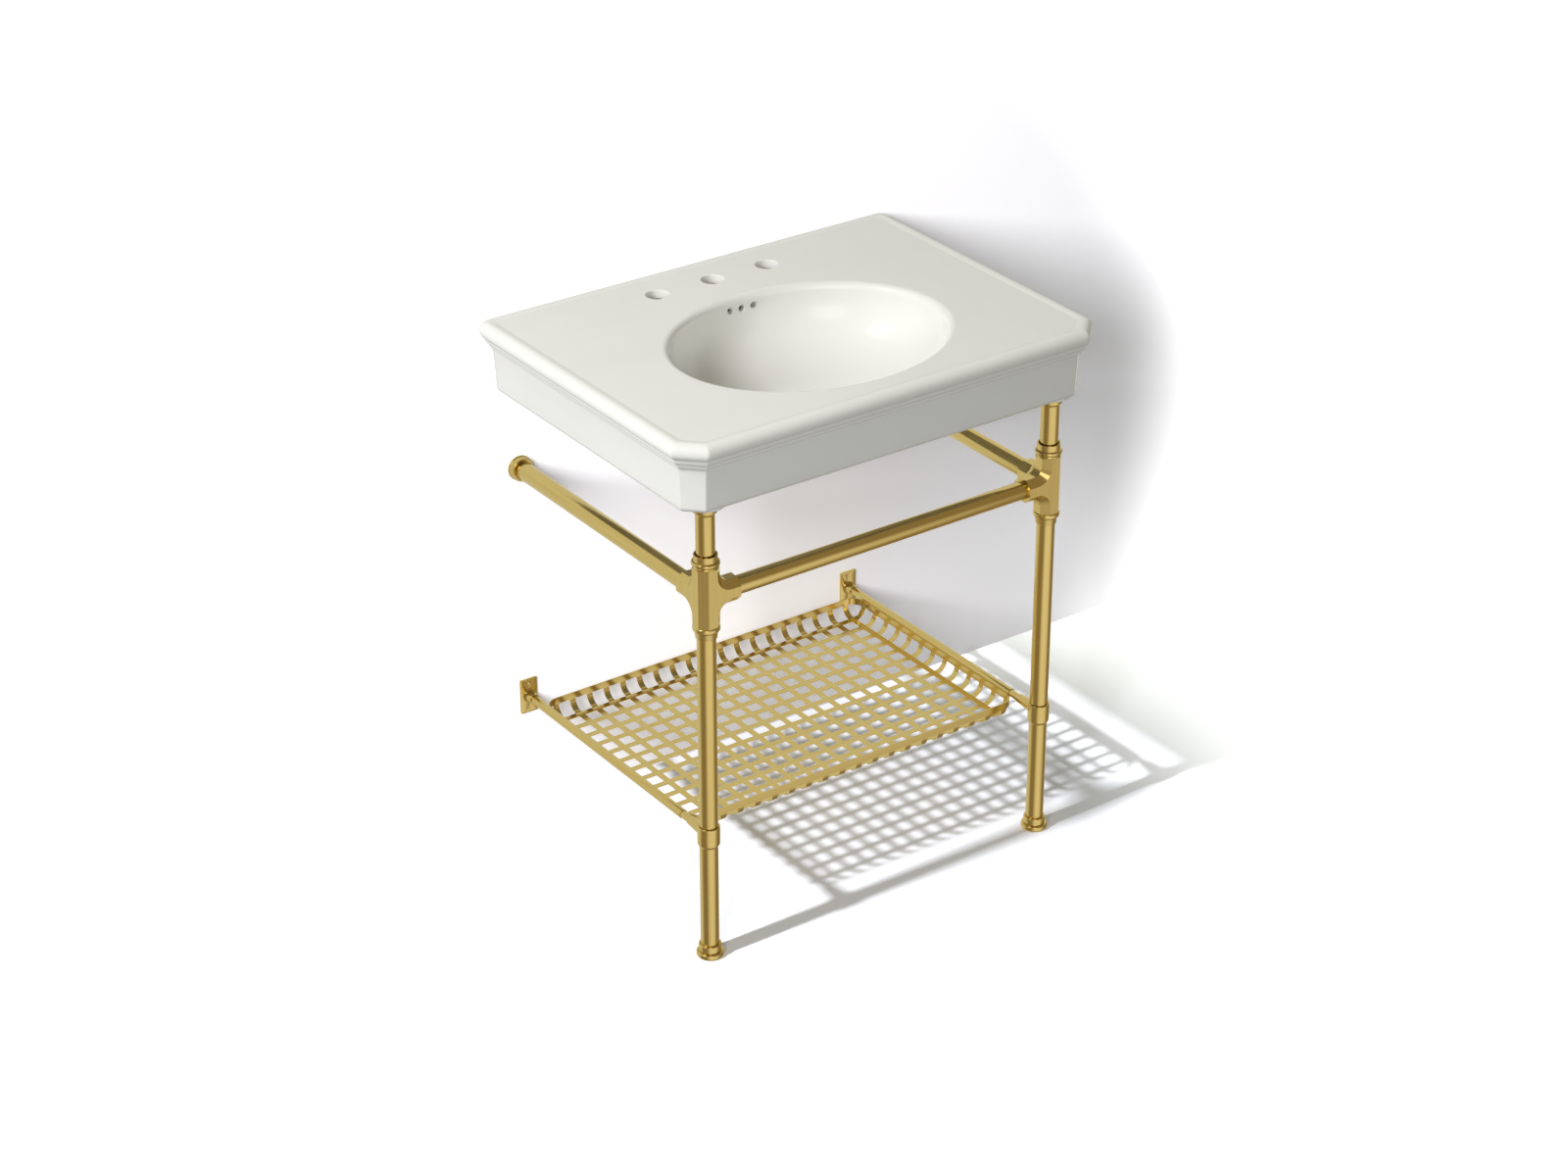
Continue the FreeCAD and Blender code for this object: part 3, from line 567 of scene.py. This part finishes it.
def wall_plate(bm, x):
    """Plate with rounded corners and two screw holes, its front edges broken, at the wall."""
    outline = [bm.verts.new((a * MM, b * MM, 0)) for a, b in ((-15, -30), (15, -30), (15, 30), (-15, 30))]
    for place, corner in enumerate(outline):
        bm.edges.new((outline[place - 1], corner))
    for corner in outline:
        round_corner(bm, corner, 1.5 * MM, 5)
    for height in (-21.1, 21.1):
        bmesh.ops.create_circle(bm, cap_ends=False, radius=2.25 * MM, segments=32,
                                matrix=Matrix.Translation((0, height * MM, 0)))
    filled = bmesh.ops.triangle_fill(bm, use_beauty=True, use_dissolve=False, edges=bm.edges[:],
                                     normal=(0, 0, 1))["geom"]
    faces = [item for item in filled if isinstance(item, bmesh.types.BMFace)]
    raised = bmesh.ops.extrude_face_region(bm, geom=faces, use_keep_orig=True)["geom"]
    front = [item for item in raised if isinstance(item, bmesh.types.BMVert)]
    bmesh.ops.translate(bm, verts=front, vec=(0, 0, 3.0 * MM))
    rims = [edge for edge in bm.edges if edge.calc_face_angle(0.0) > 1.2
            and all(vert.co.z > 2.9 * MM for vert in edge.verts)]
    bmesh.ops.bevel(bm, geom=rims, offset=0.4 * MM, offset_type="OFFSET", segments=2, profile=0.5,
                    affect="EDGES", clamp_overlap=True, material=-1)
    upright = Matrix(((1, 0, 0, x * MM), (0, 0, -1, 0), (0, 1, 0, ROD * MM), (0, 0, 0, 1)))
    bmesh.ops.transform(bm, verts=bm.verts, matrix=upright)


for tag, side in SIDES:
    x = side * LEG_X
    bm = bmesh.new()
    turned(bm, [(14.35, -19.0), (15.05, -19.0, 0.2), (17.2, -15.0, 0.8), (17.2, 15.0, 1.5),
                (15.05, 15.0, 0.3), (15.05, 13.5, 0.1), (14.35, 13.5)], (x, LEG_Y, ROD))
    turned(bm, [(6.05, 14.5), (9.6, 14.5), (9.6, 17.6, 1.2), (7.4, 48.0, 0.5), (6.05, 48.0, 0.3)],
           (x, LEG_Y, ROD), (0, 1, 0))
    new_piece(f"shelf_collar_{tag}_cast", bm, BRASS_TURNED, "brass", "console", f"shelf_collar_{tag}")
    bm = bmesh.new()
    bar(bm, 6.0, (x, -488.0, ROD), (x, -3.0, ROD), 64)
    new_piece(f"rod_inner_{tag}_drawn", bm, BRASS_TO_WALL, "brass", "console", f"rod_inner_{tag}")
    tube(f"rod_sleeve_{tag}", (x, -20.3, ROD), 421.7, (0, -1, 0), BRASS_TO_WALL, 7.15, 6.05)
    bm = bmesh.new()
    wall_plate(bm, x)
    turned(bm, [(6.05, 2.0), (10.8, 2.0), (10.8, 3.3, 0.3), (8.9, 5.0, 1.0), (8.9, 20.0, 0.6),
                (6.05, 20.0, 0.3)], (x, 0, ROD), (0, -1, 0))
    new_piece(f"wall_bracket_{tag}_turned", bm, BRASS_TURNED_LEVEL, "brass", "console",
              f"wall_bracket_{tag}")

# ---------------------------------------------------------------------------------------------
# Shelf basket. One sheet of brass, punched with a grid of square holes and with slots that run up
# the bend, then pressed into a tray with a plain band along its top.

HALF_WIDTH, BASKET_FRONT, BASKET_BACK = 308.0, -461.6, -34.4
PITCH, HOLE = 31.75, 10.75


def basket():
    """Rounded block cut along every hole's edge; the holes fall out, and the sheet gets its thickness."""
    bm = bmesh.new()
    bottom, band = ROD - 29.8, ROD - 11.5
    block(bm, (-HALF_WIDTH, BASKET_FRONT, bottom), (HALF_WIDTH, BASKET_BACK, ROD))
    upright = [edge for edge in bm.edges if abs(edge.verts[0].co.z - edge.verts[1].co.z) > 1e-3]
    bmesh.ops.bevel(bm, geom=upright, offset=22.7 * MM, offset_type="OFFSET", segments=12, profile=0.5,
                    affect="EDGES", clamp_overlap=False, material=-1)
    bmesh.ops.delete(bm, geom=[face for face in bm.faces if face.normal.z > 0.9], context="FACES_ONLY")
    low = [edge for edge in bm.edges if not edge.is_boundary
           and all(vert.co.z < (bottom + 0.1) * MM for vert in edge.verts)]
    bmesh.ops.bevel(bm, geom=low, offset=19.7 * MM, offset_type="OFFSET", segments=12, profile=0.5,
                    affect="EDGES", clamp_overlap=False, material=-1)
    middle = (BASKET_FRONT + BASKET_BACK) / 2
    columns = [PITCH * (place - 8.5) for place in range(18)]
    rows = [middle + PITCH * (place - 5.5) for place in range(12)]
    border = (9 * PITCH + 5.125, 6 * PITCH + 5.125)
    cuts = [((0, 0, band), (0, 0, 1))]
    for place in columns:
        cuts += [((place - HOLE, 0, 0), (1, 0, 0)), ((place + HOLE, 0, 0), (1, 0, 0))]
    for place in rows:
        cuts += [((0, place - HOLE, 0), (0, 1, 0)), ((0, place + HOLE, 0), (0, 1, 0))]
    for way in (-1, 1):
        cuts += [((way * border[0], 0, 0), (1, 0, 0)), ((0, middle + way * border[1], 0), (0, 1, 0))]
    for place, way in cuts:
        bmesh.ops.bisect_plane(bm, geom=bm.verts[:] + bm.edges[:] + bm.faces[:], dist=1e-7,
                               plane_co=Vector(place) * MM, plane_no=way)

    def punched(face):
        x, y, z = face.calc_center_median() / MM
        in_column = min(abs(x - place) for place in columns) < HOLE or abs(x) > border[0]
        in_row = min(abs(y - place) for place in rows) < HOLE or abs(y - middle) > border[1]
        return z < band and in_column and in_row

    bmesh.ops.delete(bm, geom=[face for face in bm.faces if punched(face)], context="FACES")
    bmesh.ops.recalc_face_normals(bm, faces=bm.faces)
    flip = -1 if max(bm.faces, key=lambda face: face.calc_area()).normal.z > 0 else 1
    bmesh.ops.solidify(bm, geom=bm.faces[:], thickness=flip * 1.2 * MM)
    new_piece("shelf_basket_pressed", bm, BRASS_ACROSS, "brass", "console", "shelf_basket")


basket()

# ---------------------------------------------------------------------------------------------
# Feet. A ring at the end of each leg tube carries the tube. Below it the round levelling foot turns
# on its threaded stud, and stands on a glide that stays still on the floor.


def thread(bm, x, low, turns):
    """Helical ridge of a coarse metric thread round the stud."""
    old = set(bm.verts)
    ridge = ((4.0, 0), (4.9, 0.65), (4.0, 1.3))
    spots = [bm.verts.new((radius * MM, 0, (low + rise) * MM)) for radius, rise in ridge]
    edges = [bm.edges.new(pair) for pair in zip(spots, spots[1:])]
    steps = 28
    bmesh.ops.spin(bm, geom=spots + edges, cent=(0, 0, 0), axis=(0, 0, 1), dvec=(0, 0, 1.5 * MM / steps),
                   angle=math.tau * turns, steps=steps * turns, use_merge=False, use_normal_flip=False,
                   use_duplicate=False)
    made = [vert for vert in bm.verts if vert not in old]
    bmesh.ops.translate(bm, verts=made, vec=(x * MM, LEG_Y * MM, 0))


for tag, side in SIDES:
    x = side * LEG_X
    ring = [(9.0, 9.8), (17.4, 9.8, 0.4), (17.4, 22.0, 1.5), (14.35, 22.0, 0.2), (14.35, 11.8), (9.0, 11.8)]
    brass_turned(f"foot_collar_{tag}", ring, (x, LEG_Y, 0), (0, 0, 1), BRASS_TURNED)
    bm = bmesh.new()
    turned(bm, [(0, 38.0), (0, 6.0), (3.05, 6.0), (3.05, 2.6), (17.3, 2.6), (17.3, 0.6), (21.0, 0.6, 2.6),
                (21.0, 9.5, 2.6), (4.3, 9.5), (4.3, 37.5), (3.8, 38.0), (0, 38.0)], (x, LEG_Y, 0))
    thread(bm, x, 9.9, 17)
    new_piece(f"levelling_foot_{tag}_turned", bm, BRASS_TURNED, "brass", f"{tag}_foot",
              f"levelling_foot_{tag}")

# ---------------------------------------------------------------------------------------------
# Parts out of sight. Rubber bushes keep the posts off the ceramic, steel hubs, plugs and grub screws
# hold the tubes, and the feet stand on plastic glides.


def rubber():
    tree, shader, material = new_material("rubber_moulded")
    speckle = grain(tree, 900.0, 3.0)
    tree.links.new(ramp(tree, speckle, 0.35, 0.65, (0.035, 0.035, 0.036), (0.060, 0.060, 0.058)),
                   shader.inputs["Base Color"])
    tree.links.new(between(tree, grain(tree, 60.0), 0.62, 0.85), shader.inputs["Roughness"])
    tree.links.new(bump(tree, speckle, 0.3, 0.0001), shader.inputs["Normal"])
    return material


def steel():
    tree, shader, material = new_material("steel_machined")
    shader.inputs["Metallic"].default_value = 1.0
    marks = grain(tree, 1400.0, 2.0)
    tree.links.new(ramp(tree, marks, 0.3, 0.7, (0.54, 0.54, 0.53), (0.66, 0.66, 0.64)),
                   shader.inputs["Base Color"])
    tree.links.new(between(tree, grain(tree, 90.0), 0.24, 0.42), shader.inputs["Roughness"])
    tree.links.new(bump(tree, marks, 0.3, 0.00002), shader.inputs["Normal"])
    return material


def plastic():
    tree, shader, material = new_material("glide_plastic")
    stipple = grain(tree, 1200.0, 2.0)
    tree.links.new(ramp(tree, stipple, 0.35, 0.65, (0.27, 0.26, 0.24), (0.33, 0.32, 0.30)),
                   shader.inputs["Base Color"])
    tree.links.new(between(tree, stipple, 0.45, 0.65), shader.inputs["Roughness"])
    tree.links.new(bump(tree, stipple, 0.25, 0.00006), shader.inputs["Normal"])
    return material


RUBBER, STEEL, GLIDE = rubber(), steel(), plastic()
for name, cad in frame["nodes"].items():
    hidden = RUBBER if "bush" in name else GLIDE if "pad" in name else STEEL
    if name == "grub_screws" or name.startswith(("post_bush", "rail_hub", "foot_insert", "foot_pad")):
        cad.data.materials.clear()
        cad.data.materials.append(hidden)

# ---------------------------------------------------------------------------------------------
# Studio. A white floor and wall, a key lamp high on the left, a softer lamp at the front, and a dim
# sky. The floor and the wall take their shadows from lamps of their own. Metal and glaze mirror a quiet
# room of a few broad panels.

camera_data = bpy.data.cameras.new("camera")
camera_data.sensor_width = 36.0
camera_data.lens = 80.0
camera_data.clip_end = 50.0
camera = bpy.data.objects.new("camera", camera_data)
bpy.context.scene.collection.objects.link(camera)
back = Vector((-0.5112, -0.7186, 0.4715)).normalized()
right = Vector((0.8148, -0.5797, 0.0)).normalized()
camera.matrix_world = Matrix.Translation((-2.7743, -4.1596, 2.9816)) @ Matrix(
    (right, back.cross(right), back)).transposed().to_4x4()
bpy.context.scene.camera = camera


def mixed(tree, share, first, second, blend="MIX"):
    """Blend of two colours, each of which is an output of another node or a plain tone."""
    made = node(tree, "ShaderNodeMix", data_type="RGBA", blend_type=blend)
    for place, given in ((0, share), (6, first), (7, second)):
        if isinstance(given, bpy.types.NodeSocket):
            tree.links.new(given, made.inputs[place])
        else:
            made.inputs[place].default_value = (*given, 1) if place else given
    return made.outputs[2]


# Painted light: how far out, and by how much, the floor and wall are painted lighter away from the console.
PAINTED_LIGHT_SPAN, PAINTED_LIGHT_GAIN = 0.5, 3.4


def backdrop(name, matrix, seen, bounced, tint, heart, near, one_sided=False):
    """Large sheet of matt paint, one tone to the camera and one to bounced light; far out it is painted
    lighter, which whitens the shadows there.
    """
    tree, shader, material = new_material(name + "_paint")
    shader.inputs["Roughness"].default_value = 0.9
    shader.inputs["Specular IOR Level"].default_value = 0.0
    place = tree.nodes.new("ShaderNodeTexCoord")
    away = node(tree, "ShaderNodeVectorMath", operation="DISTANCE")
    away.inputs[1].default_value = heart
    tree.links.new(place.outputs["Object"], away.inputs[0])
    # Painted light: the camera tone rises with distance from the heart, so the shadows far out are painted
    # over with white.
    fade = node(tree, "ShaderNodeMapRange", interpolation_type="SMOOTHSTEP", From_Min=near,
                From_Max=near + PAINTED_LIGHT_SPAN, To_Min=seen, To_Max=seen * PAINTED_LIGHT_GAIN)
    tree.links.new(away.outputs["Value"], fade.inputs["Value"])
    ray = tree.nodes.new("ShaderNodeLightPath")
    tone = node(tree, "ShaderNodeMapRange", To_Min=bounced)
    tree.links.new(ray.outputs["Is Camera Ray"], tone.inputs["Value"])
    tree.links.new(fade.outputs["Result"], tone.inputs["To Max"])
    tree.links.new(mixed(tree, 1.0, tone.outputs["Result"], tint, "MULTIPLY"), shader.inputs["Base Color"])
    if one_sided:
        clear = tree.nodes.new("ShaderNodeBsdfTransparent")
        side = tree.nodes.new("ShaderNodeNewGeometry")
        mix = tree.nodes.new("ShaderNodeMixShader")
        tree.links.new(side.outputs["Backfacing"], mix.inputs["Fac"])
        tree.links.new(shader.outputs["BSDF"], mix.inputs[1])
        tree.links.new(clear.outputs["BSDF"], mix.inputs[2])
        tree.links.new(mix.outputs["Shader"], tree.nodes["Material Output"].inputs["Surface"])
    bm = bmesh.new()
    bmesh.ops.create_grid(bm, x_segments=1, y_segments=1, size=12.0, matrix=matrix)
    mesh = bpy.data.meshes.new(name)
    bm.to_mesh(mesh)
    bm.free()
    mesh.materials.append(material)
    plane = bpy.data.objects.new(name, mesh)
    bpy.context.scene.collection.objects.link(plane)
    plane.visible_glossy = False
    return plane


floor = backdrop("floor", Matrix.Identity(4), 1.36, 0.36, (1.0, 1.03, 1.14), (0, -0.35, 0), 0.42)
wall = backdrop("wall", Matrix.Translation((0, 0.0015, 12.0)) @ Matrix.Rotation(math.radians(90), 4, "X"),
                1.5, 0.3, (1.0, 0.99, 1.05), (0.1, 0, 0.45), 0.75, one_sided=True)
wall.visible_shadow = False
wall.visible_diffuse = False
wall.visible_transmission = False


AIM = Vector((0, -0.28, 0.45))


def lamp(name, way, distance, size, watts, lit, colour=(1.0, 1.0, 1.0)):
    """Soft square lamp, seen from the console along a way. It lights the given things; no mirror shows it."""
    data = bpy.data.lights.new(name, "AREA")
    data.size = size
    data.energy = watts
    data.color = colour
    thing = bpy.data.objects.new(name, data)
    bpy.context.scene.collection.objects.link(thing)
    way = Vector(way).normalized()
    thing.location = AIM + way * distance
    thing.rotation_euler = (-way).to_track_quat("-Z", "Y").to_euler()
    thing.visible_glossy = False
    thing.light_linking.receiver_collection = bpy.data.collections.new(name + "_lights")
    for receiver in lit:
        thing.light_linking.receiver_collection.objects.link(receiver)


KEY_WAY = (-0.735, 0.0, 0.68)
FILL_WAY = (-0.45, -0.82, 0.35)
shown = [thing for thing in bpy.context.scene.collection.all_objects if thing not in (floor, wall)]
lamp("key", KEY_WAY, 5.0, 1.4, 194, shown, (0.99, 0.985, 1.0))
lamp("key_on_floor", (-0.785, -0.016, 0.619), 12.0, 0.42, 1100, [floor])
lamp("fill", FILL_WAY, 5.0, 0.9, 46, shown)
lamp("fill_on_floor", (-0.69, -0.61, 0.385), 5.0, 0.9, 44, [floor])
lamp("fill_on_wall", (-0.70, -0.54, 0.45), 5.0, 1.6, 205, [wall])


def panel_group():
    """Soft-edged round panel of light about one direction, as a brightness."""
    group = bpy.data.node_groups.new("soft_panel", "ShaderNodeTree")
    for name in ("Way", "Edge", "Heart"):
        kind = "NodeSocketVector" if name == "Way" else "NodeSocketFloat"
        group.interface.new_socket(name, in_out="INPUT", socket_type=kind)
    group.interface.new_socket("Light", in_out="OUTPUT", socket_type="NodeSocketFloat")
    given = group.nodes.new("NodeGroupInput")
    out = group.nodes.new("NodeGroupOutput")
    place = group.nodes.new("ShaderNodeTexCoord")
    dot = node(group, "ShaderNodeVectorMath", operation="DOT_PRODUCT")
    group.links.new(place.outputs["Generated"], dot.inputs[0])
    group.links.new(given.outputs["Way"], dot.inputs[1])
    fade = node(group, "ShaderNodeMapRange", interpolation_type="SMOOTHSTEP")
    group.links.new(dot.outputs["Value"], fade.inputs["Value"])
    group.links.new(given.outputs["Edge"], fade.inputs["From Min"])
    group.links.new(given.outputs["Heart"], fade.inputs["From Max"])
    group.links.new(fade.outputs["Result"], out.inputs["Light"])
    return group


def studio_world():
    """White to the camera, broad panels in mirrors, and as light a warm sky, brighter at the front."""
    world = bpy.data.worlds.new("studio")
    bpy.context.scene.world = world
    world.use_nodes = True
    tree = world.node_tree
    group = panel_group()

    def panel(way, edge, heart):
        made = tree.nodes.new("ShaderNodeGroup")
        made.node_tree = group
        made.inputs["Way"].default_value = Vector(way).normalized()
        made.inputs["Edge"].default_value = edge
        made.inputs["Heart"].default_value = heart
        return made.outputs["Light"]

    mirrored = (0.30, 0.24, 0.15)
    for way, edge, heart, colour in (((0.05, 1.0, 0.1), 0.05, 0.6, (0.43, 0.48, 0.48)),
                                     ((-0.05, -0.92, -0.38), 0.55, 0.97, (0.60, 0.62, 0.64)),
                                     (KEY_WAY, 0.975, 0.995, (3.6, 3.6, 3.6)),
                                     (FILL_WAY, 0.96, 0.985, (1.6, 1.6, 1.6))):
        mirrored = mixed(tree, panel(way, edge, heart), mirrored, colour, "ADD")
    sky = mixed(tree, panel((0, -1, 0), 0.0, 0.9), (0.14, 0.14, 0.116), (0.36, 0.36, 0.315))
    ray = tree.nodes.new("ShaderNodeLightPath")
    light = mixed(tree, ray.outputs["Is Diffuse Ray"], mirrored, sky)
    shown_world = mixed(tree, ray.outputs["Is Camera Ray"], light, (1, 1, 1))
    tree.links.new(shown_world, tree.nodes["Background"].inputs["Color"])


studio_world()
bpy.context.scene.view_settings.view_transform = "Standard"
